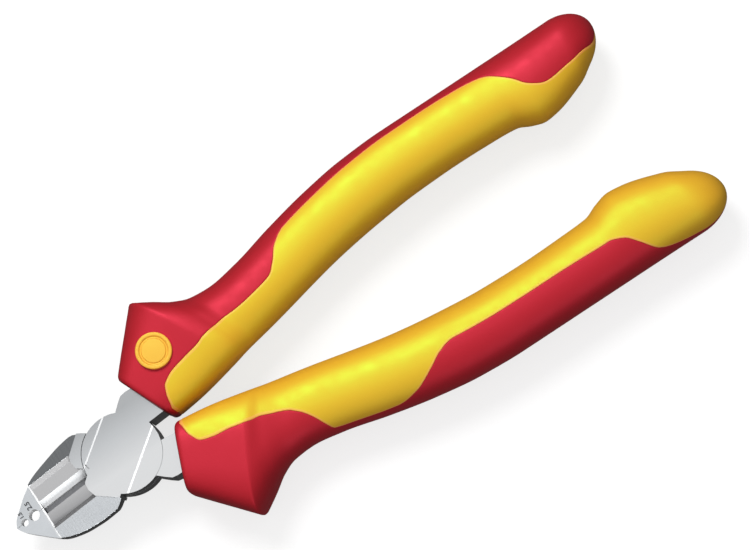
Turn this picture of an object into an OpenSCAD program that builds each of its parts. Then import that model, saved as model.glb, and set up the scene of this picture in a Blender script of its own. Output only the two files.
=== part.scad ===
// Insulated diagonal cutting pliers with two wire-stripping holes.
// Two forged levers lap over each other at a pivot: the upper handle belongs to the lower jaw.
// Origin: pivot axis at the flat rear face of the joint. +X runs to the handle ends, +Z is the front.

/* [Joint] */
// Thickness of the head over both lap discs
joint_t = 10; // [9:0.5:11]
// Radius of each lap disc
disc_r = 8.35; // [8.2:0.05:8.5]
// Running gap round and between the lap discs
lap_gap = 0.1; // [0.08:0.01:0.16]
// Radius of the rivet's shank
rivet_r = 2.6; // [2:0.1:3]
// Radius of the rivet's flush rear head
rivet_head_r = 4.2; // [3.8:0.1:4.6]

/* [Cutting head] */
// Tilt of the cutting line from the long axis, in degrees
seam_tilt = 4.6; // [3:0.2:5]
// Height of the cutting line above the pivot
seam_rise = 1.4; // [1:0.1:1.8]
// Gap between the closed cutting edges
seam_gap = 0.1; // [0.06:0.02:0.16]
// Radius of the larger stripping hole
strip_big_r = 1.2; // [1:0.05:1.3]
// Radius of the smaller stripping hole
strip_small_r = 0.8; // [0.7:0.05:0.9]

/* [Grips] */
// Thickness of the coloured outer layer over the insulating core
skin_t = 1.6; // [1.2:0.1:1.8]
// How much longer the lower handle's end lobe is than the upper one's
lower_end_stretch = 1.12; // [1:0.02:1.16]
// How much fuller the lower handle's outer side is than the upper one's
lower_swell = 0.45; // [0:0.05:0.5]
// How much the upper handle's inner side is drawn in
upper_draw = 0.2; // [0:0.05:0.3]
// Radius of the round badge in each guard
badge_r = 3.8; // [3.4:0.1:4.1]

/* [Hidden] */
$fn = 96;
half_t = joint_t / 2;
clear_r = disc_r + lap_gap;
// The rivet: thickness of its rear head, clearance in the rear lever, and steel left in front of it
rivet_head_t = 1.2;
rivet_clear = 0.05;
rivet_cover_t = 1.2;

// Half outlines of the jaws beside the cutting line: [distance along it, distance out from it]
upper_jaw = [
    [-26.7, 0.1], [-25.9, 1.3], [-23.9, 2.8], [-21.7, 4.3], [-19.6, 5.4], [-17.6, 6.25],
    [-13.5, 7.3], [-9.4, 8.1], [-6.8, 8.3], [-5, 7.5], [-3.5, 6.4]
];
lower_jaw = [
    [-26.7, 0.1], [-26.2, 1.2], [-25.2, 2.5], [-23.4, 4.4], [-20.7, 7.1], [-18.7, 8.2],
    [-14.8, 9.25], [-10.8, 9.6], [-7.9, 9.5], [-6.6, 8.8], [-5.4, 8]
];
jaw_tip_x = upper_jaw[0][0];
jaw_steps = 36;
// Where the nose steps up to the jaws, along the long axis
chin_x = -19.75;
chin_bevel = 0.35;
// Half-thickness of the nose at that step and at the tip
chin_t = 2.6;
tip_t = 1.6;
// Ground hollow's half profile: [distance out from the cutting line, height above the middle plane]
hollow = [[0, 0.15], [1.5, 2.7], [4.15, 2.9], [5.1, 4.2], [8.6, 2.7]];
// Where the hollow ends against the boss, beside the cutting line
hollow_end = [
    [0, 11.2], [-9.2, 4.7], [-9.55, 3.6], [-9.5, 1.9], [-8.4, 1.1], [-8.4, -0.6], [-9.8, -1.6],
    [-10.1, -3.2], [-9.7, -5], [0, -13.6]
];
strip_big_x = -22.2;
strip_small_x = -24.7;
// Open inner end of the cutting line, a short slot in each lap disc
slot_start = [-7.3, 0.95];
slot_length = 1.2;
slot_w = 0.25;
slot_depth = 1;
slot_turn = 15;

// The milled band over the joint runs at this angle, between these distances from the pivot.
// Beside it the face drops over a narrow bright edge and then falls away gently.
band_angle = 37;
band_top = 6.07;
band_bottom = 3.84;
band_edge = [[0, 0], [0.35, -0.12], [9, -0.65]];

// Shoulder of a lever where it leaves the lap disc and enters the guard
neck = [
    [3, 6], [3.4, 7.75], [4.9, 9.1], [6, 9.95], [7.2, 10.15], [9.9, 10.1], [13.1, 2.6], [8.3, 2.25], [5, 2]
];
// Steel bar inside the grip: [x, y, half width], and its half thickness
bar = [[9.4, 6.3, 3], [20, 9.5, 3.2], [34, 12.2, 3], [60, 17.3, 2.8], [90, 19.5, 2.4], [110, 19, 1.8]];
bar_half_t = 3.2;

// Grip outline by distance x along the outer edge, from the guard's front corner to the end
front_x = 7;
ridge_x = 17.2;
end_x = 128.6;
cap_x = 121;
cap_y = 21.5;
guard_edge = [[front_x, 13.3], [ridge_x, 25.3]];
outer_edge = [
    [ridge_x, 25.3], [20.6, 23.3], [24.4, 21.1], [28.8, 19.6], [33, 19.3], [40, 20.3], [50, 22.8],
    [60, 24.9], [70, 26.3], [80, 26.8], [110, 26.8], [end_x, 26.9]
];
inner_edge = [
    [12.9, 0.6], [20, 1.5], [30, 3.5], [40, 5.5], [60, 9.8], [70, 11.2], [80, 12.1], [90, 12.35],
    [100, 12.1], [104, 11.85], [107, 10.6], [110, 9.8], [113, 10.15], [120, 12.4], [124, 14.2],
    [end_x, 14.9]
];
// How far the inner end of a cross-section lies ahead of its outer end
slant = [
    [front_x, 5.5], [ridge_x, 11.6], [24.4, 8.1], [34.7, 4.8], [60, 3.5], [90, 1], [105, -0.5],
    [115, 0], [end_x, 0]
];
// How the two handles differ: the lower guard reaches further forward and outward, and the upper
// handle's inner side is drawn in as far as its end lobe
guard_reach = 0.2;
guard_swell = 0.45;
guard_share = [[front_x, 1], [ridge_x, 0.9], [26, 0], [end_x, 0]];
draw_share = [[front_x, 1], [100, 1], [110, 0], [end_x, 0]];
guard_depth = [[front_x, 8], [ridge_x, 9.4]];
half_depth = [
    [ridge_x, 9.4], [24, 8.2], [30, 7.4], [40, 7.4], [70, 8.1], [100, 7.8], [112, 8.4], [end_x, 7.5]
];
// How square the cross-section is: 2 is an ellipse
squareness = [[front_x, 4.2], [ridge_x, 3.4], [29, 2.35], [end_x, 2.35]];
// Sideways bow of the guard's crease across each face, from just behind its front to the waist
crease_bow = 1.8;
bow_start_x = 8.4;
bow_end_x = 34;

// The badge sits in a round seat in the guard's face, with a ring groove round its middle
badge_x = 17;
badge_y = 13.35;
badge_floor = 7.9;
badge_t = 1.6;
badge_rim = 0.8;
badge_groove_w = 0.5;
badge_groove_t = 0.3;
// Beyond this x the lower handle's end is stretched
lobe_x = 95;

// Angle from the outer edge round to the colour boundary, on the badge face and on the other face
split_a = [
    [7.8, 140], [8.8, 108], [10, 96.4], [11.5, 95], [13.5, 97], [16.5, 100.9], [20, 99.2], [25, 96.3],
    [29, 93.8], [39, 94.2], [42, 93.7], [45, 86.6], [48.4, 67.5], [52, 56], [60, 53.9], [70, 51.6],
    [80, 48.7], [90, 47.8], [97, 50.5], [102.7, 57.5], [107, 76], [111, 97.4], [114, 109.5], [120, 116],
    [124, 126], [127, 146]
];
split_b = [
    [7.8, 138], [8.8, 104.5], [10.3, 95.2], [12, 96.6], [15, 103.3], [18, 107.2], [20.3, 106.4], [23, 105.7],
    [27, 99.7], [31, 91.2], [33, 84.4], [35.5, 68.5], [37.3, 49.5], [39, 30.5], [42, 27], [52, 28.5],
    [57, 47], [59.3, 61.5], [61.4, 74.5], [64, 87.8], [68, 94.5], [90, 95.2], [105, 91.5], [108, 82.5],
    [110, 64], [112.3, 38], [115, 26], [121, 13], [127, 6]
];

// Cross-sections of the faceted grips, and how many of them carry the core
stations = [
    front_x, 7.8, 9, 10.6, 12.4, 14.8, ridge_x, 19, 21.2, 24, 27, 30, 33, 35.5, 37.4, 39.4, 43, 46, 49,
    53, 57, 60, 64, 70, 78, 88, 97, 102, 105, 107, 109, 111, 113, 116, 119, 121.5, 123.5, 125.2, 126.6,
    127.6, 128.3
];
core_first = 1;
core_last = 35;
last = len(stations) - 1;
red_steps = 8;
yellow_steps = 12;
ring = red_steps + yellow_steps;

// Smooth interpolation that never overshoots its rows
function row_at(rows, s, i = 0) = i >= len(rows) - 2 || s <= rows[i + 1][0] ? i : row_at(rows, s, i + 1);
function pitch(rows, i) = (rows[i + 1][1] - rows[i][1]) / (rows[i + 1][0] - rows[i][0]);
function inner_tangent(a, b) = a * b <= 0 ? 0 : 2 * a * b / (a + b);
function tangent(rows, i) =
    i == 0 ? pitch(rows, 0)
    : i == len(rows) - 1 ? pitch(rows, i - 1)
    : inner_tangent(pitch(rows, i - 1), pitch(rows, i));
function along(rows, s) =
    let (
        i = row_at(rows, s),
        h = rows[i + 1][0] - rows[i][0],
        t = min(1, max(0, (s - rows[i][0]) / h)),
        k = t * t * (3 - 2 * t)
    )
    rows[i][1] * (1 - k) + rows[i + 1][1] * k
    + h * t * (1 - t) * (tangent(rows, i) * (1 - t) - tangent(rows, i + 1) * t);

// Grip surface
function cap(s) = s <= cap_x ? 1 : sqrt(max(0, 1 - pow((s - cap_x) / (end_x - cap_x), 2)));
function capped(s, y) = s <= cap_x ? y : cap_y + (y - cap_y) * cap(s);
function outer_y(s) = s < ridge_x ? along(guard_edge, s) : along(outer_edge, s);
function forward(s, hand) = (1 - 2 * hand) * guard_reach * along(guard_share, s);
function outer_at(s, hand) =
    let (swell = hand * (lower_swell + guard_swell * along(guard_share, s)))
    [s + forward(s, hand), capped(s, outer_y(s) + swell), 0];
function inner_at(s, hand) =
    let (x = s + along(slant, s) + forward(s, hand), draw = (1 - hand) * upper_draw * along(draw_share, s))
    [x, capped(s, along(inner_edge, x) + draw), 0];
function middle_at(s, hand) = (outer_at(s, hand) + inner_at(s, hand)) / 2;
function depth_at(s) = (s < ridge_x ? along(guard_depth, s) : along(half_depth, s)) * cap(s);
function bulge(c, s) = sign(c) * pow(abs(c), 2 / along(squareness, s));
function bow_at(s) =
    s < bow_start_x || s > bow_end_x
        ? 0
        : crease_bow * pow(sin(180 * (s - bow_start_x) / (bow_end_x - bow_start_x)), 2);
function stretched(p, hand) =
    [p[0] <= lobe_x || hand == 0 ? p[0] : lobe_x + (p[0] - lobe_x) * lower_end_stretch, p[1], p[2]];
// A point of the grip at station s and angle a, drawn in by the given inset.
// The hand is 0 for the upper handle and 1 for the lower one.
function grip_point(s, a, inset, hand) =
    let (
        mid = middle_at(s, hand),
        half = outer_at(s, hand) - mid,
        shrink = max(0.02, 1 - inset / norm(half)),
        deep = max(0.02, depth_at(s) - inset)
    )
    stretched(
        mid + half * shrink * bulge(cos(a), s) + [bow_at(s) * sin(a), 0, deep * bulge(sin(a), s)],
        hand
    );
// Angles round the ring: the red part first, from the back boundary over the outer edge to the front one
function ring_angle(s, j) =
    let (front = along(split_a, s), back = along(split_b, s))
    j <= red_steps
        ? -back + (front + back) * j / red_steps
        : front + (360 - back - front) * (j - red_steps) / yellow_steps;
function ring_points(s, inset, hand) =
    [for (j = [0:ring - 1]) grip_point(s, ring_angle(s, j), inset, hand)];

// Every vertex of a grip: the outer rings, then the inner rings, then the centre line
function grip_vertices(hand) = concat(
    [for (s = stations) each ring_points(s, 0, hand)],
    [for (s = stations) each ring_points(s, skin_t, hand)],
    [for (s = stations) stretched(middle_at(s, hand), hand)]
);
function outer_v(i, j) = i * ring + j % ring;
function inner_v(i, j) = (last + 1 + i) * ring + j % ring;
function mid_v(i) = 2 * (last + 1) * ring + i;
function quad(a, b, c, d) = [[a, b, c], [a, c, d]];

// Outer wall over steps j0 to j1, between stations i0 and i1
function outer_wall(i0, i1, j0, j1) = [
    for (i = [i0:i1 - 1], j = [j0:j1 - 1])
        each quad(outer_v(i, j), outer_v(i, j + 1), outer_v(i + 1, j + 1), outer_v(i + 1, j))
];
function inner_wall(i0, i1, j0, j1) = [
    for (i = [i0:i1 - 1], j = [j0:j1 - 1])
        each quad(inner_v(i, j), inner_v(i, j + 1), inner_v(i + 1, j + 1), inner_v(i + 1, j))
];
function turned(faces) = [for (f = faces) [f[0], f[2], f[1]]];
// Radial wall along boundary j, from the core outwards and solid beyond the core's end
function split_wall(j) = concat(
    [
        for (i = [core_first:core_last - 1])
            each quad(inner_v(i, j), outer_v(i, j), outer_v(i + 1, j), inner_v(i + 1, j))
    ],
    [
        [mid_v(core_last), inner_v(core_last, j), mid_v(core_last + 1)],
        [inner_v(core_last, j), outer_v(core_last + 1, j), mid_v(core_last + 1)],
        [inner_v(core_last, j), outer_v(core_last, j), outer_v(core_last + 1, j)]
    ],
    [
        for (i = [core_last + 1:last - 1])
            each quad(mid_v(i), outer_v(i, j), outer_v(i + 1, j), mid_v(i + 1))
    ]
);
function outer_fan(i, j0, j1) = [for (j = [j0:j1 - 1]) [mid_v(i), outer_v(i, j), outer_v(i, j + 1)]];
function inner_fan(i, j0, j1) = [for (j = [j0:j1 - 1]) [mid_v(i), inner_v(i, j), inner_v(i, j + 1)]];
function ring_face(i, j0, j1) = [
    for (j = [j0:j1 - 1]) each quad(inner_v(i, j), outer_v(i, j), outer_v(i, j + 1), inner_v(i, j + 1))
];
// Faces of one coloured layer over steps j0 to j1, without its front end
function layer_faces(j0, j1) = concat(
    outer_wall(core_first, last, j0, j1),
    turned(inner_wall(core_first, core_last, j0, j1)),
    turned(inner_fan(core_last, j0, j1)),
    outer_fan(last, j0, j1),
    split_wall(j0),
    turned(split_wall(j1))
);
red_faces = concat(
    turned(outer_fan(0, 0, ring)),
    outer_wall(0, core_first, 0, ring),
    ring_face(core_first, red_steps, ring),
    inner_fan(core_first, 0, ring),
    layer_faces(0, red_steps)
);
yellow_faces = concat(
    turned(ring_face(core_first, red_steps, ring)),
    layer_faces(red_steps, ring)
);
core_faces = concat(
    turned(inner_fan(core_first, 0, ring)),
    inner_wall(core_first, core_last, 0, ring),
    inner_fan(core_last, 0, ring)
);

module raised() {
    translate([0, 0, half_t]) children();
}

// The rear lever's side of the tool is the front lever's side turned over about the long axis
module turned_over() {
    rotate([180, 0, 0]) children();
}

module grip_solid(faces, hand) {
    polyhedron(points = grip_vertices(hand), faces = turned(faces), convexity = 8);
}

module neck_block() {
    translate([0, 0, -half_t]) linear_extrude(joint_t) polygon(neck);
}

module tang_bar() {
    left = [for (i = [0:len(bar) - 1]) bar_side(i, 1)];
    right = [for (i = [len(bar) - 1:-1:0]) bar_side(i, -1)];
    translate([0, 0, -bar_half_t]) linear_extrude(2 * bar_half_t) polygon(concat(left, right));
}
function bar_point(i) = [bar[i][0], bar[i][1]];
function bar_heading(i) =
    let (d = bar_point(min(i + 1, len(bar) - 1)) - bar_point(max(i - 1, 0)))
    d / norm(d);
function bar_side(i, side) = bar_point(i) + side * bar[i][2] * [-bar_heading(i)[1], bar_heading(i)[0]];

// Cuts the face beside the milled band, beyond the given distance from the pivot
module band_cut(distance) {
    above = [[band_edge[2][0], 2], [0, 2]];
    translate([-12, distance, half_t]) rotate([90, 0, 90]) linear_extrude(24)
        polygon(concat(band_edge, above));
}

module slot_cut() {
    translate([slot_start[0], slot_start[1], half_t - slot_depth]) rotate(slot_turn)
        translate([-slot_w / 2, 0, 0]) cube([slot_w, slot_length, 2 * slot_depth]);
}

// Front half of the lap joint with its two fallen segments beside the milled band and the open end
// of the cutting line
module lap_disc() {
    difference() {
        translate([0, 0, lap_gap / 2]) cylinder(r = disc_r, h = half_t - lap_gap / 2);
        rotate(band_angle) band_cut(band_top);
        rotate(band_angle + 180) band_cut(band_bottom);
        slot_cut();
    }
}

// Disc, neck and tang of the front lever; the other lever's disc turns in the cleared space behind
module lever_body() {
    lap_disc();
    difference() {
        union() {
            neck_block();
            tang_bar();
        }
        translate([0, 0, -half_t - 1]) cylinder(r = clear_r, h = half_t + 1 + lap_gap / 2);
    }
}

// Jaw outline on the +Y side of the cutting line, with its inner corner under the disc
module jaw_outline(rows, side) {
    x0 = rows[0][0];
    x1 = rows[len(rows) - 1][0];
    rim = [
        for (i = [0:jaw_steps])
            let (x = x0 + (x1 - x0) * pow(i / jaw_steps, 1.4))
            [x, side * along(rows, x)]
    ];
    polygon(concat(rim, [[-2, side * 2], [-2, side * seam_gap / 2], [x0, side * seam_gap / 2]]));
}

module seam_frame() {
    translate([0, seam_rise, 0]) rotate(seam_tilt) children();
}

// The head seen from the side: the thin nose steps up to the joint's full thickness
module head_side_profile() {
    top = [
        [jaw_tip_x - 1, tip_t], [chin_x - chin_bevel, chin_t], [chin_x, chin_t + 0.12],
        [chin_x, half_t], [0, half_t]
    ];
    polygon(concat(top, [for (i = [len(top) - 1:-1:0]) [top[i][0], -top[i][1]]]));
}

// Ground hollow on the front of one jaw, square at the nose and pointed at the boss
module hollow_cut(side) {
    floor_line = [for (p = hollow) [side * p[0], p[1]]];
    around = [[side * 12, 1.2], [side * 12, 9], [-side, 9], [-side, hollow[0][1]]];
    intersection() {
        seam_frame() intersection() {
            translate([-30, 0, 0]) rotate([90, 0, 90]) linear_extrude(30)
                polygon(concat(floor_line, around));
            linear_extrude(9) polygon(concat(hollow_end, [[-30, -14], [-30, 14]]));
        }
        translate([chin_x, -20, 0]) cube([30, 40, 9]);
    }
}

module jaw(rows, side) {
    difference() {
        intersection() {
            seam_frame() translate([0, 0, -half_t]) linear_extrude(joint_t) jaw_outline(rows, side);
            rotate([90, 0, 0]) translate([0, 0, -15]) linear_extrude(30) head_side_profile();
        }
        hollow_cut(side);
        mirror([0, 0, 1]) hollow_cut(side);
        seam_frame() translate([0, 0, -half_t]) {
            translate([strip_big_x, 0, 0]) cylinder(r = strip_big_r, h = joint_t);
            translate([strip_small_x, 0, 0]) cylinder(r = strip_small_r, h = joint_t);
        }
    }
}

module front_lever() {
    color("silver") raised() difference() {
        union() {
            lever_body();
            difference() {
                jaw(lower_jaw, -1);
                translate([0, 0, -half_t - 1]) cylinder(r = clear_r, h = half_t + 1 + lap_gap / 2);
            }
        }
        translate([0, 0, -1]) cylinder(r = rivet_r, h = 1 + half_t - rivet_cover_t);
    }
}

module rear_lever() {
    color("gainsboro") raised() difference() {
        union() {
            turned_over() lever_body();
            difference() {
                jaw(upper_jaw, 1);
                translate([0, 0, -lap_gap / 2]) cylinder(r = clear_r, h = half_t + 1 + lap_gap / 2);
            }
        }
        translate([0, 0, -half_t - 1]) {
            cylinder(r = rivet_r + rivet_clear, h = half_t + 2);
            cylinder(r = rivet_head_r + rivet_clear, h = 1 + rivet_head_t + rivet_clear);
        }
    }
}

// Flush rear head and a shank pressed blind into the front lever
module pivot_rivet() {
    color("lightgray") raised() {
        translate([0, 0, -half_t]) cylinder(r = rivet_head_r, h = rivet_head_t);
        translate([0, 0, -half_t]) cylinder(r = rivet_r, h = joint_t - rivet_cover_t);
    }
}

module core(hand) {
    color("khaki") difference() {
        grip_solid(core_faces, hand);
        neck_block();
        tang_bar();
    }
}

module red_shell(hand) {
    color("firebrick") difference() {
        grip_solid(red_faces, hand);
        neck_block();
        tang_bar();
        badge_seat();
    }
}

module yellow_inlay(hand) {
    color("gold") grip_solid(yellow_faces, hand);
}

module badge_seat() {
    translate([badge_x, badge_y, badge_floor]) cylinder(r = badge_r, h = 4);
}

module badge() {
    color("orange") translate([badge_x, badge_y, badge_floor]) difference() {
        cylinder(r = badge_r, h = badge_t);
        translate([0, 0, badge_t - badge_groove_t]) difference() {
            cylinder(r = badge_r - badge_rim, h = 1);
            cylinder(r = badge_r - badge_rim - badge_groove_w, h = 1);
        }
    }
}

module upper_core() { raised() core(0); }
module lower_core() { raised() turned_over() core(1); }
module upper_red_shell() { raised() red_shell(0); }
module lower_red_shell() { raised() turned_over() red_shell(1); }
module upper_yellow_inlay() { raised() yellow_inlay(0); }
module lower_yellow_inlay() { raised() turned_over() yellow_inlay(1); }
module upper_badge() { raised() badge(); }
module lower_badge() { raised() turned_over() badge(); }

front_lever();
rear_lever();
pivot_rivet();
upper_core();
lower_core();
upper_red_shell();
lower_red_shell();
upper_yellow_inlay();
lower_yellow_inlay();
upper_badge();
lower_badge();
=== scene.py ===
"""Looks of the insulated diagonal cutting pliers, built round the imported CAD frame."""
import math

import bmesh
import bpy
import numpy as np
from mathutils import Matrix, Vector


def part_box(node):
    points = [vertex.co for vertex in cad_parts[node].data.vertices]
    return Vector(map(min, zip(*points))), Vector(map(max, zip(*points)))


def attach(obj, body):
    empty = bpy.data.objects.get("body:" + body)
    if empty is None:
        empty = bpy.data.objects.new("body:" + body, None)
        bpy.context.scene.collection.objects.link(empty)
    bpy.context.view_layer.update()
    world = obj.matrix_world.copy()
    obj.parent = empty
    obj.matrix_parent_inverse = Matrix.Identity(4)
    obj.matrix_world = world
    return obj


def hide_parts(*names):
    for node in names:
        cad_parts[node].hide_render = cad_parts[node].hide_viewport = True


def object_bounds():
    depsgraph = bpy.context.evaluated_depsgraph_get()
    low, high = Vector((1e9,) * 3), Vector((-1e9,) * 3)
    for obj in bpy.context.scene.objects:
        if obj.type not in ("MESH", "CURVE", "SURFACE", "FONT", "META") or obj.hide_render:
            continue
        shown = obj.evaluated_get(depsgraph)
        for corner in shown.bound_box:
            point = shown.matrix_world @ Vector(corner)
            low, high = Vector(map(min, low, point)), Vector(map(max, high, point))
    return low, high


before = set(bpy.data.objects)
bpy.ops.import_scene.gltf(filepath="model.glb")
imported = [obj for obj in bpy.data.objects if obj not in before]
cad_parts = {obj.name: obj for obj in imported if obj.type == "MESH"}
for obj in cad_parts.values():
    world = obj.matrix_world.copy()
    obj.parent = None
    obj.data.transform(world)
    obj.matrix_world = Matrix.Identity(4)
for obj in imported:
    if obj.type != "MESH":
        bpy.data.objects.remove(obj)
cad_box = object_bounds()

MM = 0.001
UPPER, LOWER = "front_half", "rear_half"
# The joint's half thickness comes from the frame: the lap discs' rear face is at z = 0
HALF_T = (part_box("front_lever")[1].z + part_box("rear_lever")[0].z) / 2 / MM

# ---------------------------------------------------------------- small mesh helpers


def new_object(name, verts, faces, smooth=True):
    """A mesh object from points in millimetres."""
    mesh = bpy.data.meshes.new(name)
    mesh.from_pydata([tuple(c * MM for c in v) for v in verts], [], faces)
    mesh.validate()
    obj = bpy.data.objects.new(name, mesh)
    bpy.context.scene.collection.objects.link(obj)
    mesh.shade_smooth() if smooth else mesh.shade_flat()
    return obj


def outward(obj):
    """Turns every face outwards."""
    bm = bmesh.new()
    bm.from_mesh(obj.data)
    bmesh.ops.recalc_face_normals(bm, faces=bm.faces)
    bm.to_mesh(obj.data)
    bm.free()


def sharpen(obj, angle):
    """Smooth shading that breaks at edges steeper than the angle, in degrees."""
    obj.data.shade_smooth()
    obj.data.set_sharp_from_angle(angle=math.radians(angle))


def half_turn(points):
    """The other lever's side: turned over about the long axis, in the middle plane's frame."""
    return points * np.array([1, -1, -1])


# ---------------------------------------------------------------- grip surface
# The same driving rows as the CAD grip, in millimetres, measured from the joint's middle plane.
# The hand is 0 for the upper handle and 1 for the lower one.
FRONT_X, RIDGE_X, END_X, CAP_X, CAP_Y = 7.0, 17.2, 128.6, 121.0, 21.5
COLLAR_X = 7.8
CREASE_BOW, BOW_START_X, BOW_END_X = 1.8, 8.4, 34.0
END_LOBE_X = 95.0
LOWER_STRETCH = 1.12
LOWER_SWELL = 0.45
UPPER_DRAW = 0.2
SKIN = 1.6
# Least half size of a section, so that none closes to a line
LEAST = 0.02
GUARD_EDGE = [(FRONT_X, 13.3), (RIDGE_X, 25.3)]
OUTER_EDGE = [
    (RIDGE_X, 25.3), (20.6, 23.3), (24.4, 21.1), (28.8, 19.6), (33, 19.3), (40, 20.3), (50, 22.8),
    (60, 24.9), (70, 26.3), (80, 26.8), (110, 26.8), (END_X, 26.9),
]
INNER_EDGE = [
    (12.9, 0.6), (20, 1.5), (30, 3.5), (40, 5.5), (60, 9.8), (70, 11.2), (80, 12.1), (90, 12.35),
    (100, 12.1), (104, 11.85), (107, 10.6), (110, 9.8), (113, 10.15), (120, 12.4), (124, 14.2),
    (END_X, 14.9),
]
SLANT = [
    (FRONT_X, 5.5), (RIDGE_X, 11.6), (24.4, 8.1), (34.7, 4.8), (60, 3.5), (90, 1), (105, -0.5), (115, 0),
    (END_X, 0),
]
# How the two handles differ
GUARD_REACH, GUARD_SWELL = 0.2, 0.45
GUARD_SHARE = [(FRONT_X, 1), (RIDGE_X, 0.9), (26, 0), (END_X, 0)]
DRAW_SHARE = [(FRONT_X, 1), (100, 1), (110, 0), (END_X, 0)]
GUARD_DEPTH = [(FRONT_X, 8), (RIDGE_X, 9.4)]
HALF_DEPTH = [
    (RIDGE_X, 9.4), (24, 8.2), (30, 7.4), (40, 7.4), (70, 8.1), (100, 7.8), (112, 8.4), (END_X, 7.5),
]
SQUARENESS = [(FRONT_X, 4.2), (RIDGE_X, 3.4), (29, 2.35), (END_X, 2.35)]
# Where red meets yellow, as the angle round the section from its outer edge, in degrees. SPLIT_A is on
# the upper handle's front face, and SPLIT_B on its back, which the lower handle shows at the front.
# Scratch scripts worked these two tables out from the photo, as report.md says.
SPLIT_A = [
    (COLLAR_X, 140), (8.8, 108), (10, 96.4), (11.5, 95), (13.5, 97), (16.5, 100.9), (20, 99.2),
    (25, 96.3), (29, 93.8), (39, 94.2), (42, 93.7), (45, 86.6), (48.4, 67.5), (52, 56), (60, 53.9),
    (70, 51.6), (80, 48.7), (90, 47.8), (97, 50.5), (102.7, 57.5), (107, 76), (111, 97.4),
    (114, 109.5), (120, 116), (124, 126), (127, 146),
]
SPLIT_B = [
    (COLLAR_X, 138), (8.8, 104.5), (10.3, 95.2), (12, 96.6), (15, 103.3), (18, 107.2),
    (20.3, 106.4), (23, 105.7), (27, 99.7), (31, 91.2), (33, 84.4), (35.5, 68.5), (37.3, 49.5),
    (39, 30.5), (42, 27), (52, 28.5), (57, 47), (59.3, 61.5), (61.4, 74.5), (64, 87.8), (68, 94.5),
    (90, 95.2), (105, 91.5), (108, 82.5), (110, 64), (112.3, 38), (115, 26), (121, 13), (127, 6),
]


def along(rows, s):
    """Smooth interpolation through the rows that never overshoots them."""
    pitch = [(b[1] - a[1]) / (b[0] - a[0]) for a, b in zip(rows, rows[1:])]
    i = 0
    while i < len(rows) - 2 and s > rows[i + 1][0]:
        i += 1

    def tangent(k):
        if k == 0 or k == len(rows) - 1:
            return pitch[0 if k == 0 else -1]
        a, b = pitch[k - 1], pitch[k]
        return 0 if a * b <= 0 else 2 * a * b / (a + b)

    h = rows[i + 1][0] - rows[i][0]
    t = min(1, max(0, (s - rows[i][0]) / h))
    k = t * t * (3 - 2 * t)
    base = rows[i][1] * (1 - k) + rows[i + 1][1] * k
    return base + h * t * (1 - t) * (tangent(i) * (1 - t) - tangent(i + 1) * t)


def cap(s):
    return 1 if s <= CAP_X else math.sqrt(max(0, 1 - ((s - CAP_X) / (END_X - CAP_X)) ** 2))


def capped(s, y):
    return y if s <= CAP_X else CAP_Y + (y - CAP_Y) * cap(s)


def forward(s, hand):
    return (1 - 2 * hand) * GUARD_REACH * along(GUARD_SHARE, s)


def outer_at(s, hand):
    y = along(GUARD_EDGE if s < RIDGE_X else OUTER_EDGE, s)
    swell = hand * (LOWER_SWELL + GUARD_SWELL * along(GUARD_SHARE, s))
    return np.array([s + forward(s, hand), capped(s, y + swell), 0])


def inner_at(s, hand):
    x = s + along(SLANT, s) + forward(s, hand)
    draw = (1 - hand) * UPPER_DRAW * along(DRAW_SHARE, s)
    return np.array([x, capped(s, along(INNER_EDGE, x) + draw), 0])


def middle_at(s, hand):
    return (outer_at(s, hand) + inner_at(s, hand)) / 2


def depth_at(s):
    return along(GUARD_DEPTH if s < RIDGE_X else HALF_DEPTH, s) * cap(s)


def bow_at(s):
    if s < BOW_START_X or s > BOW_END_X:
        return 0
    return CREASE_BOW * math.sin(math.pi * (s - BOW_START_X) / (BOW_END_X - BOW_START_X)) ** 2


def plain_section(s, angles, inset, hand):
    """Points round the grip at station s, drawn in by inset, one row for each angle."""
    power = 2 / along(SQUARENESS, s)
    mid = middle_at(s, hand)
    half = outer_at(s, hand) - mid
    shrink = max(LEAST, 1 - inset / np.linalg.norm(half))
    deep = max(LEAST, depth_at(s) - inset)
    c, d = np.cos(angles), np.sin(angles)
    bulge_c = np.sign(c) * np.abs(c) ** power
    bulge_d = np.sign(d) * np.abs(d) ** power
    points = mid + np.outer(bulge_c * shrink, half)
    points[:, 0] += bow_at(s) * d
    points[:, 2] += deep * bulge_d
    return points


CRISP, SOFT = 0.3, 1.6
CREASE_REACH = 7.0
CREASE_TAPS = 7
# Angles, in degrees, between which the crease turns from crisp to soft
CREASE_TURN = [75, 120]


def section(s, angles, inset, hand):
    """The section with the guard's crease rounded: crisp in the red part, soft in the yellow part."""
    fade = min(1, max(0, (CREASE_REACH - abs(s - RIDGE_X)) / (CREASE_REACH - SOFT)))
    if fade == 0:
        return plain_section(s, angles, inset, hand)
    turn = np.degrees(np.abs((np.asarray(angles) + math.pi) % (2 * math.pi) - math.pi))
    share = np.interp(turn, CREASE_TURN, [0, 1])[:, None]
    spread = np.linspace(-1, 1, CREASE_TAPS) * fade
    crisp = sum(plain_section(s + k * CRISP, angles, inset, hand) for k in spread) / len(spread)
    soft = sum(plain_section(s + k * SOFT, angles, inset, hand) for k in spread) / len(spread)
    return crisp * (1 - share) + soft * share


LIP = [0, 0.05, 0.12, 0.2, 0.32, 0.5]
RED_RING, YELLOW_RING = 44, 60
SAMPLES, RUN_SAMPLES = 720, 60
# A lip takes at most this share of a layer's width, spread over this many of its steps
LIP_SHARE, LIP_SPREAD = 0.05, 1.5


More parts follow.
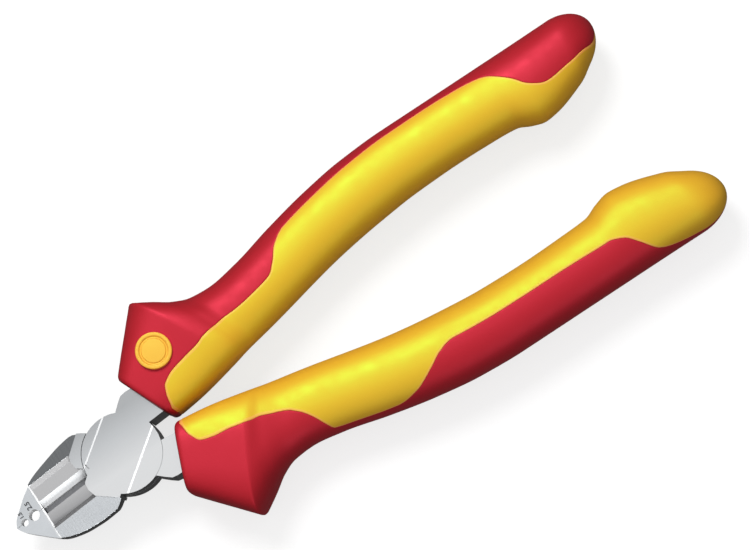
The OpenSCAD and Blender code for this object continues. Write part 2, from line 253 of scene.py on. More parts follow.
def arc_angles(s, start, end, count, wide_a, wide_b):
    """Angles from start to end that are even along the surface and crowd at both lips."""
    fine = np.linspace(start, end, SAMPLES)
    pts = section(s, fine, 0, 0)
    run = np.concatenate([[0], np.cumsum(np.linalg.norm(np.diff(pts, axis=0), axis=1))])
    total = run[-1]
    lip_a = np.minimum(np.array(LIP) * wide_a, total * LIP_SHARE * np.arange(len(LIP)) / LIP_SPREAD)
    lip_b = np.minimum(np.array(LIP) * wide_b, total * LIP_SHARE * np.arange(len(LIP)) / LIP_SPREAD)
    middle = np.linspace(lip_a[-1], total - lip_b[-1], count + 1 - 2 * (len(LIP) - 1))
    place = np.concatenate([lip_a[:-1], middle, (total - lip_b[:-1])[::-1]])
    near = np.minimum(place / wide_a, (total - place) / wide_b)
    return np.interp(place, run, fine), near


def boundary_run(s, angle):
    """Length along the surface from the outer edge to an angle."""
    pts = section(s, np.linspace(0, angle, RUN_SAMPLES), 0, 0)
    return np.linalg.norm(np.diff(pts, axis=0), axis=1).sum()


LEAN_STEP, LEAN_END_X, LEAN_MOST = 0.3, 127.5, 16


def lean(rows, s, sign):
    """How much wider a lip has to be, measured round the grip, where its boundary runs steeply."""
    a, b = max(COLLAR_X, s - LEAN_STEP), min(LEAN_END_X, s + LEAN_STEP)
    step = boundary_run(b, sign * math.radians(along(rows, b))) - boundary_run(
        a, sign * math.radians(along(rows, a))
    )
    return math.sqrt(1 + min(LEAN_MOST, (step / (b - a)) ** 2))


def crown(near, radius, drop, rise):
    """Height of the skin against its distance from the colour boundary: a rounded lip."""
    t = np.clip(1 - near / radius, 0, 1)
    return rise - drop * (1 - np.sqrt(1 - t * t))


def stretch(points, hand):
    points = points.copy()
    far = points[:, 0] > END_LOBE_X
    k = LOWER_STRETCH if hand else 1
    points[far, 0] = END_LOBE_X + (points[far, 0] - END_LOBE_X) * k
    return points


# Radius of the collar's rounding, and how the stations are spaced along the grip
COLLAR_ROUND = 0.7
RIM_STEPS = 8
WAIST_X = 24.0
GUARD_STEPS, WAIST_STEPS, CAP_STEPS = 28, 21, 26
STATION_STEP = 0.45


class Grip:
    """Ring points of one grip, shared by its red shell and its yellow inlay."""

    def __init__(self, hand):
        self.hand = hand
        quarter = [t * math.pi / 2 / RIM_STEPS for t in range(RIM_STEPS)]
        rim = [FRONT_X + COLLAR_ROUND * (1 - math.cos(a)) for a in quarter]
        body = list(np.linspace(COLLAR_X, RIDGE_X, GUARD_STEPS, endpoint=False))
        body += list(np.linspace(RIDGE_X, WAIST_X, WAIST_STEPS, endpoint=False))
        body += list(np.arange(WAIST_X, CAP_X, STATION_STEP))
        turn = [CAP_X + (END_X - CAP_X) * math.sin(t * math.pi / 2 / CAP_STEPS) for t in range(CAP_STEPS)]
        self.rim = [s for s in rim if s < COLLAR_X - 0.05]
        self.stations = body + turn
        self.rows = [self.measure(s) for s in self.stations]

    def measure(self, s):
        front, back = math.radians(along(SPLIT_A, s)), math.radians(along(SPLIT_B, s))
        wide_a, wide_b = lean(SPLIT_A, s, 1), lean(SPLIT_B, s, -1)
        red, red_near = arc_angles(s, -back, front, RED_RING, wide_b, wide_a)
        yellow, yellow_near = arc_angles(s, front, 2 * math.pi - back, YELLOW_RING, wide_a, wide_b)
        return {"red": (red, red_near), "yellow": (yellow, yellow_near)}

    def ring(self, s, angles, inset):
        return stretch(section(s, angles, inset, self.hand), self.hand)


def loop_faces(rows, closed):
    """Quads between rows of equally many vertex numbers."""
    faces = []
    for a, b in zip(rows, rows[1:]):
        n = len(a)
        for j in range(n if closed else n - 1):
            m = (j + 1) % n
            faces.append((a[j], a[m], b[m], b[j]))
    return faces


def skin_offset(points, centre, height):
    """Moves points away from the section's centre by the given heights."""
    away = points - centre
    away /= np.maximum(1e-6, np.linalg.norm(away, axis=1))[:, None]
    return points + away * np.asarray(height)[:, None]


NECK_SHIFT, NECK_HALF_W, NECK_HALF_T = -1.15, 4.35, 5.3
# The higher this power, the squarer the opening's corners
NECK_POWER = 8


def neck_hole(s, angles):
    """The opening for the steel neck in the guard's front face: a rounded rectangle."""
    mid = (middle_at(s, 0) + middle_at(s, 1)) / 2
    u = (outer_at(s, 0) - mid) / np.linalg.norm(outer_at(s, 0) - mid)
    centre = mid + u * NECK_SHIFT
    c, d = np.cos(angles), np.sin(angles)
    reach = (
        np.abs(c / NECK_HALF_W) ** NECK_POWER + np.abs(d / NECK_HALF_T) ** NECK_POWER
    ) ** (-1 / NECK_POWER)
    points = centre + np.outer(reach * c, u)
    points[:, 2] += reach * d
    return points


def add_rows(verts, rows):
    """Appends rows of points to the list and returns their numbers."""
    numbers = []
    for points in rows:
        start = len(verts)
        verts.extend(points.tolist())
        numbers.append(list(range(start, start + len(points))))
    return numbers


def place_side(verts, side):
    """Turns grip points to their lever's side and lifts them from the middle plane."""
    pts = np.array(verts)
    if side < 0:
        pts = half_turn(pts)
    pts[:, 2] += HALF_T
    return pts


# Radius of the lip, its drop at the colour boundary, and how far the skin stands out
RED_LIP, YELLOW_LIP = (0.2, 0.14, 0), (0.3, 0.1, 0.05)
# Width of the lip's painted tone, a painted highlight on the yellow and painted shade on the red, and the
# length over which the lip fades out at the handle's end
PAINTED_LIP_W, LIP_FADE = 0.9, 2
GRIP_SHADE_ANGLE = 50


def layer_rows(grip, colour, first, radius, drop, rise):
    """Outer and inner rows of one coloured layer, with the lip near values."""
    outer_rows, inner_rows, near_rows = [], [], []
    for s, row in zip(grip.stations, grip.rows):
        angles, near = row[colour]
        if colour == "yellow":
            near = np.minimum(near, s - first)
        centre = stretch(middle_at(s, grip.hand)[None], grip.hand)[0]
        fade = min(1, max(0, (END_X - s) / LIP_FADE))
        height = crown(near, radius, drop, rise) * fade
        outer_rows.append(skin_offset(grip.ring(s, angles, 0), centre, height))
        inner_rows.append(grip.ring(s, angles, SKIN))
        near_rows.append(near)
    return outer_rows, inner_rows, near_rows


def near_attribute(obj, values):
    """Stores how near each vertex is to the colour boundary, 1 at the lip and 0 away from it: the mask of
    the painted lip tone.
    """
    attribute = obj.data.attributes.new("painted_lip_tone", "FLOAT", "POINT")
    attribute.data.foreach_set("value", np.asarray(values, np.float32))


def painted_lip_values(near_rows):
    return [float(v) for near in near_rows for v in np.clip(1 - near / PAINTED_LIP_W, 0, 1)]


def yellow_inlay(name, grip, side):
    verts = []
    outer_rows, inner_rows, near_rows = layer_rows(grip, "yellow", COLLAR_X, *YELLOW_LIP)
    outer_ids, inner_ids = add_rows(verts, outer_rows), add_rows(verts, inner_rows)
    loops = [o + i[::-1] for o, i in zip(outer_ids, inner_ids)]
    faces = loop_faces(loops, True)
    faces += end_strip(outer_ids[0], inner_ids[0]) + end_strip(outer_ids[-1], inner_ids[-1])
    obj = new_object(name, place_side(verts, side), faces)
    near_attribute(obj, painted_lip_values(near_rows) + [0.0] * (len(verts) // 2))
    outward(obj)
    sharpen(obj, GRIP_SHADE_ANGLE)
    return obj


def end_strip(outer_ids, inner_ids):
    steps = range(len(outer_ids) - 1)
    return [(outer_ids[j], outer_ids[j + 1], inner_ids[j + 1], inner_ids[j]) for j in steps]


def red_shell(name, grip, side):
    """The red layer with its rounded collar round the steel neck."""
    verts = []
    outer_rows, inner_rows, near_rows = layer_rows(grip, "red", COLLAR_X, *RED_LIP)
    red0, yellow0 = grip.rows[0]["red"][0], grip.rows[0]["yellow"][0]
    full = np.concatenate([red0, yellow0[1:-1]])
    span = len(red0)
    hole_back = neck_hole(COLLAR_X, full)
    hole_front = neck_hole(FRONT_X, full)
    rims = []
    for s in grip.rim:
        t = (s - FRONT_X) / COLLAR_ROUND
        inset = COLLAR_ROUND * (1 - math.sqrt(max(0, 1 - (1 - t) ** 2)))
        rims.append(grip.ring(s, full, inset))
    t = (COLLAR_X - FRONT_X) / COLLAR_ROUND
    back_inset = COLLAR_ROUND * (1 - math.sqrt(1 - (1 - min(1, t)) ** 2))
    shoulder = grip.ring(COLLAR_X, full, back_inset)
    seat = grip.ring(COLLAR_X, full, SKIN)
    front_ids = add_rows(verts, [seat, hole_back, hole_front] + rims + [shoulder])
    faces = loop_faces(front_ids, True)
    seat_ids, shoulder_ids = front_ids[0], front_ids[-1]
    # The yellow stretch of the collar's rear face
    ring_n = len(full)
    for j in range(span - 1, ring_n):
        m = (j + 1) % ring_n
        faces.append((shoulder_ids[j], shoulder_ids[m], seat_ids[m], seat_ids[j]))
    outer_ids = [shoulder_ids[:span]] + add_rows(verts, outer_rows[1:])
    inner_ids = [seat_ids[:span]] + add_rows(verts, inner_rows[1:])
    loops = [o + i[::-1] for o, i in zip(outer_ids, inner_ids)]
    faces += loop_faces(loops, True)
    faces += end_strip(outer_ids[-1], inner_ids[-1])
    obj = new_object(name, place_side(verts, side), faces)
    # The collar's front face and the first half of its rounding take the red's dark lip colour as painted
    # shade
    dark_rows = 3 + RIM_STEPS // 2
    painted_lip_tone = [0.0] * ring_n + [1.0] * (ring_n * (dark_rows - 1))
    painted_lip_tone += [0.0] * (ring_n * (len(front_ids) - dark_rows))
    painted_lip_tone += painted_lip_values(near_rows[1:])
    painted_lip_tone += [0.0] * (len(verts) - len(painted_lip_tone))
    near_attribute(obj, painted_lip_tone)
    outward(obj)
    sharpen(obj, GRIP_SHADE_ANGLE)
    return obj


# ---------------------------------------------------------------- turned pieces


TURNED_SHADE_ANGLE = 35


def turned(name, profile, centre, steps=96, side=1):
    """A closed solid of revolution about +Z from (radius, height) points, in millimetres."""
    verts, rows = [], []
    for r, z in profile:
        start = len(verts)
        if r == 0:
            verts.append((centre[0], centre[1], centre[2] + z))
            rows.append([start] * steps)
            continue
        for j in range(steps):
            a = 2 * math.pi * j / steps
            verts.append((centre[0] + r * math.cos(a), centre[1] + r * math.sin(a), centre[2] + z))
        rows.append(list(range(start, start + steps)))
    faces = []
    for a, b in zip(rows, rows[1:]):
        for j in range(steps):
            m = (j + 1) % steps
            face = []
            for v in (a[j], a[m], b[m], b[j]):
                if v not in face:
                    face.append(v)
            if len(face) > 2:
                faces.append(tuple(face))
    obj = new_object(name, place_side(verts, side), faces)
    outward(obj)
    sharpen(obj, TURNED_SHADE_ANGLE)
    return obj


def rounded(points, radius, steps=5):
    """A profile whose inner corners are rounded by the radius."""
    out = [points[0]]
    for p, q, r in zip(points, points[1:], points[2:]):
        p, q, r = Vector(p), Vector(q), Vector(r)
        a, b = (p - q), (r - q)
        cut = min(radius, a.length * 0.45, b.length * 0.45)
        start, end = q + a.normalized() * cut, q + b.normalized() * cut
        for i in range(steps + 1):
            t = i / steps
            out.append(tuple(start * (1 - t) ** 2 + q * 2 * t * (1 - t) + end * t * t))
    out.append(points[-1])
    return out


# How far in from the badge's edge its rim ends, its groove's floor runs, and its dome starts
RIM_IN, FLOOR_FROM_IN, FLOOR_TO_IN, DOME_IN = 0.75, 0.9, 1.2, 1.35
GROOVE_DEPTH, DOME_RISE, DOME_STEPS, BADGE_ROUND = 0.3, 0.05, 8, 0.25


def badge(name, side):
    """A plain round badge: a rounded rim, a ring groove and a slightly domed middle."""
    low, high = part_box("upper_badge")
    r = (high.x - low.x) / 2 / MM
    top = (high.z - low.z) / MM
    centre = ((low.x + high.x) / 2 / MM, (low.y + high.y) / 2 / MM, low.z / MM - HALF_T)
    groove_z = top - GROOVE_DEPTH
    shape = [(0, 0), (r, 0), (r, top), (r - RIM_IN, top)]
    shape += [(r - FLOOR_FROM_IN, groove_z), (r - FLOOR_TO_IN, groove_z), (r - DOME_IN, top - DOME_RISE)]
    dome = []
    for i in range(1, DOME_STEPS + 1):
        rise = DOME_RISE * math.sin(math.pi / 2 * i / DOME_STEPS)
        dome.append(((r - DOME_IN) * (1 - i / DOME_STEPS), top - DOME_RISE + rise))
    return turned(name, rounded(shape, BADGE_ROUND) + dome, centre, side=side)


# ---------------------------------------------------------------- steel


FORGING_BEVEL = 0.07
# In degrees: coplanar faces are merged, sharp edges bevelled, and the shading broken
MERGE_ANGLE, BEVEL_ANGLE, SHADE_ANGLE = 1.5, 28, 25
# Faces whose normal's height is under this are side walls
ROUND_WALL = 0.25


def steel_from(node, name, bevel):
    """The CAD forging with its sharp edges broken by a small bevel."""
    bm = bmesh.new()
    bm.from_mesh(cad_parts[node].data)
    bmesh.ops.remove_doubles(bm, verts=bm.verts, dist=1e-6)
    bmesh.ops.dissolve_limit(
        bm, angle_limit=math.radians(MERGE_ANGLE), verts=bm.verts, edges=bm.edges,
        use_dissolve_boundaries=False,
    )
    bm.edges.ensure_lookup_table()
    steep = math.radians(BEVEL_ANGLE)
    sharp = [e for e in bm.edges if len(e.link_faces) == 2 and e.calc_face_angle(0) > steep]
    bmesh.ops.bevel(
        bm, geom=sharp, offset=bevel * MM, offset_type="OFFSET", segments=2, profile=0.6,
        affect="EDGES", clamp_overlap=True, miter_outer="ARC",
    )
    bmesh.ops.remove_doubles(bm, verts=bm.verts, dist=1e-7)
    bmesh.ops.triangulate(bm, faces=[f for f in bm.faces if len(f.verts) > 4])
    bmesh.ops.recalc_face_normals(bm, faces=bm.faces)
    mesh = bpy.data.meshes.new(name)
    bm.to_mesh(mesh)
    bm.free()
    obj = bpy.data.objects.new(name, mesh)
    bpy.context.scene.collection.objects.link(obj)
    sharpen(obj, SHADE_ANGLE)
    # The ground faces are flat and only the side walls are shaded as rounds
    for face in mesh.polygons:
        face.use_smooth = abs(face.normal.z) < ROUND_WALL
    return obj


# Height of the nose's face above the middle plane, between its tip and the step
NOSE_TOP = ((-27.7, 1.6), (-20.1, 2.6))
MARK_T = 0.03
MARK_WEIGHT = 0.045
# Name, figures, height of a line and lower left corner of each marking
SIZE_MARKS = [
    ("size_mark_large", "2.5", 1.45, -21.7, 0.98),
    ("size_mark_small", "1.5", 1.15, -24.15, 0.34),
]


def numerals(name, text, size, x, y):
    """Flat numerals on the nose's sloping face, read along +Y, from their lower left corner."""
    curve = bpy.data.curves.new(name, "FONT")
    curve.body = text
    curve.size = size
    curve.extrude = MARK_T
    curve.offset = MARK_WEIGHT
    shape = bpy.data.objects.new(name + "_curve", curve)
    mesh = bpy.data.meshes.new_from_object(shape)
    (x0, z0), (x1, z1) = NOSE_TOP
    for v in mesh.vertices:
        u, up, out = v.co
        px = x - up
        v.co = Vector((px, y + u, HALF_T + z0 + (px - x0) * (z1 - z0) / (x1 - x0) + out)) * MM
    bpy.data.objects.remove(shape)
    mesh.name = name
    obj = bpy.data.objects.new(name, mesh)
    bpy.context.scene.collection.objects.link(obj)
    mesh.shade_flat()
    outward(obj)
    return obj


# ---------------------------------------------------------------- materials


class Nodes:
    """A short way to write a node material."""

    def __init__(self, name):
        self.mat = bpy.data.materials.new(name)
        self.mat.use_nodes = True
        self.tree = self.mat.node_tree
        self.shader = self.tree.nodes["Principled BSDF"]
        self.place = self.add("ShaderNodeTexCoord")
        self.coord = self.place.outputs["Object"]

    def add(self, kind, **values):
        node = self.tree.nodes.new(kind)
        for key, value in values.items():
            if hasattr(node, key):
                setattr(node, key, value)
            else:
                node.inputs[key].default_value = value
        return node

    def link(self, a, b):
        self.tree.links.new(a, b)

    def mapped(self, scale):
        node = self.add("ShaderNodeMapping")
        node.inputs["Scale"].default_value = scale
        self.link(self.coord, node.inputs["Vector"])
        return node.outputs[0]

    def noise(self, scale, detail=4, vector=None, rough=0.5):
        node = self.add("ShaderNodeTexNoise")
        node.inputs["Scale"].default_value = scale
        node.inputs["Detail"].default_value = detail
        node.inputs["Roughness"].default_value = rough
        self.link(vector or self.coord, node.inputs["Vector"])
        return node.outputs["Fac"]

    def ramp(self, factor, stops):
        node = self.add("ShaderNodeValToRGB")
        band = node.color_ramp
        while len(band.elements) < len(stops):
            band.elements.new(0.5)
        for element, (place, colour) in zip(band.elements, stops):
            element.position = place
            element.color = (*colour, 1)
        self.link(factor, node.inputs[0])
        return node.outputs[0]

    def span(self, factor, low, high, to_low, to_high):
        node = self.add("ShaderNodeMapRange")
        for key, value in zip(("From Min", "From Max", "To Min", "To Max"), (low, high, to_low, to_high)):
            node.inputs[key].default_value = value
        self.link(factor, node.inputs["Value"])
        return node.outputs[0]

    def mix(self, factor, a, b, single=False):
        node = self.add("ShaderNodeMix", data_type="FLOAT" if single else "RGBA")
        first = 2 if single else 6
        for socket, value in zip((node.inputs["Factor"], *node.inputs[first:first + 2]), (factor, a, b)):
            if isinstance(value, bpy.types.NodeSocket):
                self.link(value, socket)
            elif isinstance(value, tuple):
                socket.default_value = (*value, 1)
            else:
                socket.default_value = value
        return node.outputs[0 if single else 2]

    def bump(self, height, strength, distance):
        node = self.add("ShaderNodeBump")
        node.inputs["Strength"].default_value = strength
        node.inputs["Distance"].default_value = distance
        self.link(height, node.inputs["Height"])
        return node.outputs[0]

    def painted_lip_tone(self):
        node = self.add("ShaderNodeAttribute", attribute_name="painted_lip_tone")
        return node.outputs["Fac"]

    def axis(self, letter):
        node = self.add("ShaderNodeSeparateXYZ")
        self.link(self.coord, node.inputs[0])
        return node.outputs[letter]

    def normal(self, letter):
        split = self.add("ShaderNodeSeparateXYZ")
        self.link(self.place.outputs["Normal"], split.inputs[0])
        return split.outputs[letter]

    def maths(self, operation, *values):
        node = self.add("ShaderNodeMath", operation=operation)
        for socket, value in zip(node.inputs, values):
            if isinstance(value, bpy.types.NodeSocket):
                self.link(value, socket)
            else:
                socket.default_value = value
        return node.outputs[0]

    def times(self, a, b):
        return self.maths("MULTIPLY", a, b)

    def most(self, a, b):
        return self.maths("MAXIMUM", a, b)

    def compare(self, value, place, margin):
        """1 where the value is within the margin of the place."""
        return self.maths("COMPARE", value, place, margin)

    def upness(self):
        """How squarely the surface faces the front or the back: 1 on the faces, 0 on the side walls."""
        return self.maths("ABSOLUTE", self.normal("Z"))


def plastic(name, face, side, painted_lip_colour, lip_from, roughness, grain, tint, ior):
    """Moulded satin plastic with a fine grain: painted shade on the flanks and a painted lip tone along
    the colour boundary.
    """
    n = Nodes(name)
    # Painted shade: the side colour where the surface turns away from the front or back, the face colour
    # where it faces them
    painted_flank_shade = n.ramp(n.upness(), [(0.1, side), (0.9, face)])
    cloud = n.noise(90, 3)
    varied = n.mix(n.span(cloud, 0.3, 0.7, 0, 0.1), painted_flank_shade, side)
    # Painted lip tone along the colour boundary, from the lip colour: a painted highlight or painted
    # shade
    painted_lip_tone = n.span(n.painted_lip_tone(), lip_from, min(1, lip_from + 0.12), 0, 1)
    n.link(n.mix(painted_lip_tone, varied, painted_lip_colour), n.shader.inputs["Base Color"])
    rough = n.span(n.noise(400, 4), 0.3, 0.7, roughness - 0.04, roughness + 0.05)
    n.link(rough, n.shader.inputs["Roughness"])
    n.link(n.bump(n.noise(2600, 2), grain, 0.00004), n.shader.inputs["Normal"])
    n.shader.inputs["IOR"].default_value = ior
    n.shader.inputs["Specular IOR Level"].default_value = 1
    n.shader.inputs["Specular Tint"].default_value = (*tint, 1)
    return n.mat


# The nose keeps the bright tone all round; behind this x, over a short blend, the head's side walls get a
# near-black painted shade
NOSE_END, NOSE_BLEND = -0.0202, 0.0004
# How squarely a polished face, the start and end of a slope, and of a side wall, face the front
PLATE_UP, SLOPE_UP, STEEP_UP = 0.99, (0.985, 0.95), (0.42, 0.25)
# Cosines of the slopes of the bevels beside the cutting line and of the milled band's narrow edges
BEVEL_UP, BEVEL_MARGIN = 0.507, 0.035
MILLED_EDGE_UP, MILLED_EDGE_MARGIN = 0.946, 0.012
# Painted highlight tone for the upper bevel, the milled edges and the bore walls, and painted shade for
# the lower bevel
PAINTED_WHITE = (0.93, 0.94, 0.95)
PAINTED_DARK_BEVEL = (0.2, 0.2, 0.21)
# The hollow's floors lean this much; both floors get painted reflection tones, and the lower one's
# painted shade darkens from the bevel to the flank
FLOOR_LEAN, FLOOR_MARGIN = 0.0753, 0.012
LOWER_FLOOR = (-0.0015, -0.00415)
LOWER_FLOOR_TONES = [(0, (0.62, 0.62, 0.63)), (0.7, (0.5, 0.5, 0.51)), (1, (0.3, 0.3, 0.31))]
UPPER_FLOOR = (0.66, 0.66, 0.67)
# The steep bands beside the flanks get a dark painted shade, darker on the lower jaw
BAND_UP = 0.59
UPPER_BAND, LOWER_BAND = (0.42, 0.42, 0.425), (0.3, 0.3, 0.305)
HOLLOW_TO = -0.0075
# Painted reflection on the polished faces: a tone gradient across the tool, from the upper handle's neck
# to the lower one's
POLISH_Y = (0.008, -0.003)
PAINTED_POLISH_REFLECTION = [(0, (0.56, 0.575, 0.59)), (0.4, (0.72, 0.74, 0.76)), (1, (0.96, 0.97, 0.98))]
# The stripping holes' walls lie ahead of this x
BORES_FROM = -0.0203


def steel(name, tone, painted_wall_shade, roughness, scratch):
    """Ground bright steel: fine marks along the flats and coarser ones across the slopes.

    Its tones are base colours set by the faces' own normals and places, chosen to follow the photo:
    painted reflections, painted highlights and painted shade on the polished faces, side walls, hollow
    floors, bands, bevels, milled edges and bores.
    """
    n = Nodes(name)
    up = n.upness()
    slope = n.span(up, *SLOPE_UP, 0, 1)
    along_marks = n.noise(1, 3, n.mapped((300, 2600, 2600)))
    across_marks = n.noise(1, 3, n.mapped((2100, 160, 160)))
    marks = n.mix(slope, along_marks, across_marks)
    dark = tuple(c * 0.9 for c in tone)
    bright = n.mix(n.span(n.noise(160, 4), 0.3, 0.7, 0, 1), tone, dark)
    # The back is the front turned over, so both use the same tones
    turned_over = n.maths("SIGN", n.normal("Z"))
    leaning, outward_y = n.times(n.normal("Y"), turned_over), n.times(n.axis("Y"), turned_over)
    behind_nose = n.span(n.axis("X"), NOSE_END - NOSE_BLEND, NOSE_END + NOSE_BLEND, 0, 1)
    # Painted reflection: the polished faces darken towards the upper handle's side
    polished_painted_reflection = n.ramp(n.span(outward_y, *POLISH_Y, 0, 1), PAINTED_POLISH_REFLECTION)
    on_plate = n.times(n.maths("GREATER_THAN", up, PLATE_UP), behind_nose)
    bright = n.mix(n.times(on_plate, 0.9), bright, polished_painted_reflection)
    ground = tuple(c * 0.72 for c in tone)
    bright = n.mix(n.times(slope, n.span(across_marks, 0.35, 0.7, 0, 0.8)), bright, ground)
    # Painted shade: behind the nose the steep side walls take the near-black wall colour
    steep = n.span(up, *STEEP_UP, 0, 1)
    bright = n.mix(n.times(steep, behind_nose), bright, painted_wall_shade)
    # Painted reflection and painted shade on the hollow's floors and on the steep bands beside the flanks
    in_jaw = n.maths("LESS_THAN", n.axis("X"), HOLLOW_TO)
    painted_floor_shade = n.ramp(n.span(outward_y, *LOWER_FLOOR, 0, 1), LOWER_FLOOR_TONES)
    bright = n.mix(n.times(in_jaw, n.compare(leaning, FLOOR_LEAN, FLOOR_MARGIN)), bright, painted_floor_shade)
    bright = n.mix(n.times(in_jaw, n.compare(leaning, -FLOOR_LEAN, FLOOR_MARGIN)), bright, UPPER_FLOOR)
    band = n.compare(up, BAND_UP, BEVEL_MARGIN)
    bright = n.mix(band, bright, n.mix(n.span(leaning, -0.3, 0.3, 0, 1), UPPER_BAND, LOWER_BAND))
    # The bevels beside the cutting line get painted light: painted shade on the lower jaw's, a painted
    # white highlight on the upper one's
    bevel = n.compare(up, BEVEL_UP, BEVEL_MARGIN)
    painted_bright_bevel = n.times(bevel, n.span(leaning, -0.3, -0.4, 0, 1))
    painted_dark_bevel = n.times(bevel, n.span(leaning, 0.3, 0.4, 0, 1))
    bright = n.mix(painted_dark_bevel, bright, PAINTED_DARK_BEVEL)
    bright = n.mix(n.times(painted_bright_bevel, n.span(across_marks, 0.25, 0.55, 1, 0.7)), bright, PAINTED_WHITE)
    # Painted highlights: the milled band's narrow edges and the stripping holes' walls take the white
    # tone
    milled_edge = n.compare(up, MILLED_EDGE_UP, MILLED_EDGE_MARGIN)
    bore = n.times(steep, n.maths("LESS_THAN", n.axis("X"), BORES_FROM))
    painted_highlights = n.most(milled_edge, bore)
    n.link(n.mix(painted_highlights, bright, PAINTED_WHITE), n.shader.inputs["Base Color"])
    rough = n.span(marks, 0.3, 0.7, roughness - 0.04, roughness + 0.04)
    n.link(n.mix(n.most(painted_bright_bevel, band), rough, 0.55, single=True), n.shader.inputs["Roughness"])
    n.link(n.span(n.most(n.most(painted_bright_bevel, band), painted_highlights), 0, 1, 1, 0.1), n.shader.inputs["Metallic"])
    n.link(n.bump(marks, scratch, 0.00001), n.shader.inputs["Normal"])
    return n.mat


def ink(name, colour):
    """Dark etched marking with a slightly uneven tone."""
    n = Nodes(name)
    pale = tuple(c * 1.6 for c in colour)
    n.link(n.mix(n.span(n.noise(3000, 3), 0.35, 0.7, 0, 1), colour, pale), n.shader.inputs["Base Color"])
    n.link(n.bump(n.noise(5000, 2), 0.3, 0.00001), n.shader.inputs["Normal"])
    n.shader.inputs["Roughness"].default_value = 0.6
    return n.mat


def dress(obj, material, body, node):
    obj.data.materials.clear()
    obj.data.materials.append(material)
    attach(obj, body)
    if node:
        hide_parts(node)


# In each plastic the second colour is the flanks' painted shade, and the third the painted lip tone:
# painted shade on the red, a painted highlight on the yellow
RED = plastic(
    "red_plastic", (0.43, 0.016, 0.024), (0.38, 0.009, 0.015), (0.20, 0.004, 0.006), 0.88, 0.48, 0.4,
    (1, 0.09, 0.16), 1.68,
)
YELLOW = plastic(
    "yellow_plastic", (0.90, 0.42, 0.028), (0.84, 0.37, 0.026), (1.0, 0.38, 0.09), 0.5, 0.52, 0.35,
    (0.05, 1, 0.08), 1.85,
)
BADGE = plastic(
    "badge_plastic", (0.88, 0.42, 0.05), (0.85, 0.34, 0.04), (0.8, 0.4, 0.06), 0.9, 0.42, 0.3,
    (0.4, 1, 0.2), 1.5,
)
CORE = plastic(
    "core_plastic", (0.8, 0.6, 0.05), (0.7, 0.5, 0.04), (0.6, 0.4, 0.03), 0.9, 0.5, 0.4, (1, 1, 1), 1.5,
)
# The steel's second colour is the near-black painted shade of the head's side walls
STEEL = steel("ground_steel", (0.83, 0.865, 0.90), (0.03, 0.031, 0.034), 0.22, 0.12)
RIVET = steel("rivet_steel", (0.66, 0.67, 0.69), (0.3, 0.3, 0.3), 0.32, 0.3)
MARKING = ink("etched_grey", (0.035, 0.035, 0.04))

for hand, (prefix, side, body) in enumerate((("upper", 1, UPPER), ("lower", -1, LOWER))):
    grip = Grip(hand)
    dress(red_shell(prefix + "_red_grip", grip, side), RED, body, prefix + "_red_shell")
    inlay = yellow_inlay(prefix + "_yellow_grip", grip, side)
    dress(inlay, YELLOW, body, prefix + "_yellow_inlay")
    dress(badge(prefix + "_round_badge", side), BADGE, body, prefix + "_badge")
    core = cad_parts[prefix + "_core"]
    core.data.materials.clear()
    core.data.materials.append(CORE)

dress(steel_from("front_lever", "front_forging", FORGING_BEVEL), STEEL, UPPER, "front_lever")
dress(steel_from("rear_lever", "rear_forging", FORGING_BEVEL), STEEL, LOWER, "rear_lever")
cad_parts["pivot_rivet"].data.materials.clear()
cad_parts["pivot_rivet"].data.materials.append(RIVET)

# Conductor sizes beside the stripping holes, on the upper jaw's nose
for name, figures, size, x, y in SIZE_MARKS:
    dress(numerals(name, figures, size, x, y), MARKING, LOWER, None)

# ---------------------------------------------------------------- camera, floor and light

# The camera looks down on the front face, a little from the lower handle's side
TILT = math.radians(8.3)
ROLL = math.radians(33.4)
AIM = Vector((63.06 * MM, 2.61 * MM, HALF_T * MM))
LENS = 200
SENSOR = 36
VIEW_WIDTH = 153.85 * MM
back = Vector((0, -math.sin(TILT), math.cos(TILT)))
across = Vector((1, 0, 0))
upward = back.cross(across)
right = across * math.cos(ROLL) - upward * math.sin(ROLL)
top = across * math.sin(ROLL) + upward * math.cos(ROLL)
camera = bpy.data.objects.new("camera", bpy.data.cameras.new("camera"))
camera.data.lens = LENS
camera.data.sensor_width = SENSOR
camera.data.clip_start = 0.01
camera.data.clip_end = 20
distance = VIEW_WIDTH * LENS / SENSOR
turn = Matrix((right, top, back)).transposed().to_4x4()
camera.matrix_world = Matrix.Translation(AIM + back * distance) @ turn
bpy.context.scene.collection.objects.link(camera)
bpy.context.scene.camera = camera

FLOOR_DROP = 0.05
FLOOR_HALF = 3000
floor_z = cad_box[0].z / MM - FLOOR_DROP
corners = [(x * FLOOR_HALF, y * FLOOR_HALF, floor_z) for x, y in ((-1, -1), (1, -1), (1, 1), (-1, 1))]
floor = new_object("floor", corners, [(0, 1, 2, 3)])
paper = Nodes("white_paper")
mottle = paper.span(paper.noise(6, 2), 0.3, 0.7, 0, 1)
paper.link(paper.mix(mottle, (0.30, 0.30, 0.30), (0.33, 0.33, 0.33)), paper.shader.inputs["Base Color"])
paper.shader.inputs["Roughness"].default_value = 1
paper.shader.inputs["Specular IOR Level"].default_value = 0
paper.shader.inputs["Emission Color"].default_value = (1, 1, 1, 1)
paper.shader.inputs["Emission Strength"].default_value = 0.74
floor.data.materials.append(paper.mat)
# The floor is lit but throws no light back, so the undersides stay deep in tone
floor.visible_diffuse = False
floor.visible_glossy = False

LAMP_DISTANCE = 0.8


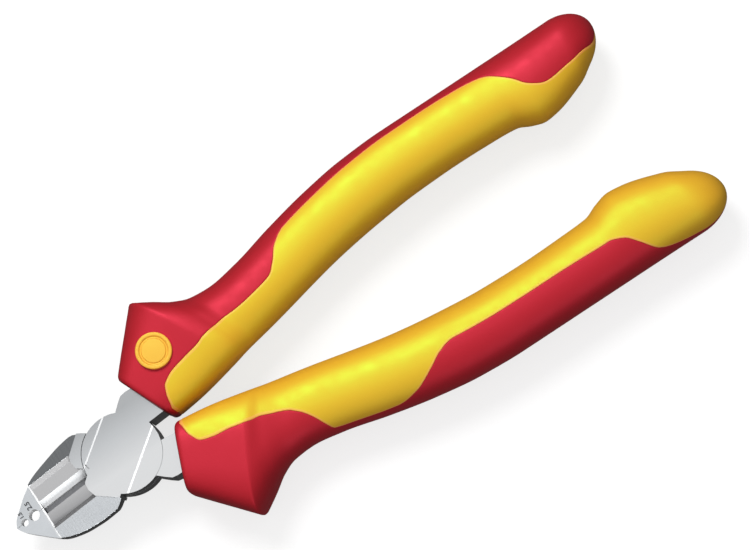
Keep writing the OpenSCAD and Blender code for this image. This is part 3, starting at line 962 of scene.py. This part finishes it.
def lamp(name, towards, size, power, only=(), without=()):
    """A round soft light aimed at the tool's middle, for some objects only or for all but some."""
    data = bpy.data.lights.new(name, "AREA")
    data.shape = "DISK"
    data.size = size
    data.energy = power
    obj = bpy.data.objects.new(name, data)
    obj.location = AIM + Vector(towards).normalized() * LAMP_DISTANCE
    obj.rotation_mode = "QUATERNION"
    obj.rotation_quaternion = (AIM - obj.location).to_track_quat("-Z", "Y")
    bpy.context.scene.collection.objects.link(obj)
    if only or without:
        linked = bpy.data.collections.new(name + "_linking")
        for other in (*only, *without):
            linked.objects.link(other)
        obj.light_linking.receiver_collection = linked
        if without:
            for entry in linked.collection_objects:
                entry.light_linking.link_state = "EXCLUDE"
    return obj


# A small strong key leans towards the upper handle, a weak fill comes from the lower handle's side,
# and a low lamp there picks out the steel's bevels. The rest is an overhead softbox in a dim room.
forgings = [bpy.data.objects["front_forging"], bpy.data.objects["rear_forging"]]
lamp("key", (0, 0.54, 0.84), 0.36, 4.9, without=forgings)
lamp("fill", (0, -0.9, 0.44), 0.4, 0.7)
lamp("steel_lamp", (-0.1, -0.9, 0.45), 0.3, 2.2, only=forgings)
# This one lights the forgings' matt ground bands, with no reflection in their polished flats
lamp("matt_steel_lamp", (0, -0.35, 0.94), 0.36, 5.2, only=forgings).visible_glossy = False

ROOM_TONES = [(0, 0.09), (0.5, 0.16), (0.82, 0.19), (0.90, 0.76), (1, 0.76)]
world = bpy.data.worlds.new("studio")
world.use_nodes = True
nodes, links = world.node_tree.nodes, world.node_tree.links
direction = nodes.new("ShaderNodeTexCoord")
parts = nodes.new("ShaderNodeSeparateXYZ")
height = nodes.new("ShaderNodeMapRange")
height.inputs["From Min"].default_value = -1
tones = nodes.new("ShaderNodeValToRGB")
while len(tones.color_ramp.elements) < len(ROOM_TONES):
    tones.color_ramp.elements.new(0.5)
for element, (place, tone) in zip(tones.color_ramp.elements, ROOM_TONES):
    element.position = place
    element.color = (tone, tone, tone, 1)
links.new(direction.outputs["Generated"], parts.inputs[0])
links.new(parts.outputs["Z"], height.inputs["Value"])
links.new(height.outputs[0], tones.inputs[0])
links.new(tones.outputs[0], nodes["Background"].inputs[0])
bpy.context.scene.world = world
bpy.context.scene.view_settings.view_transform = "Standard"
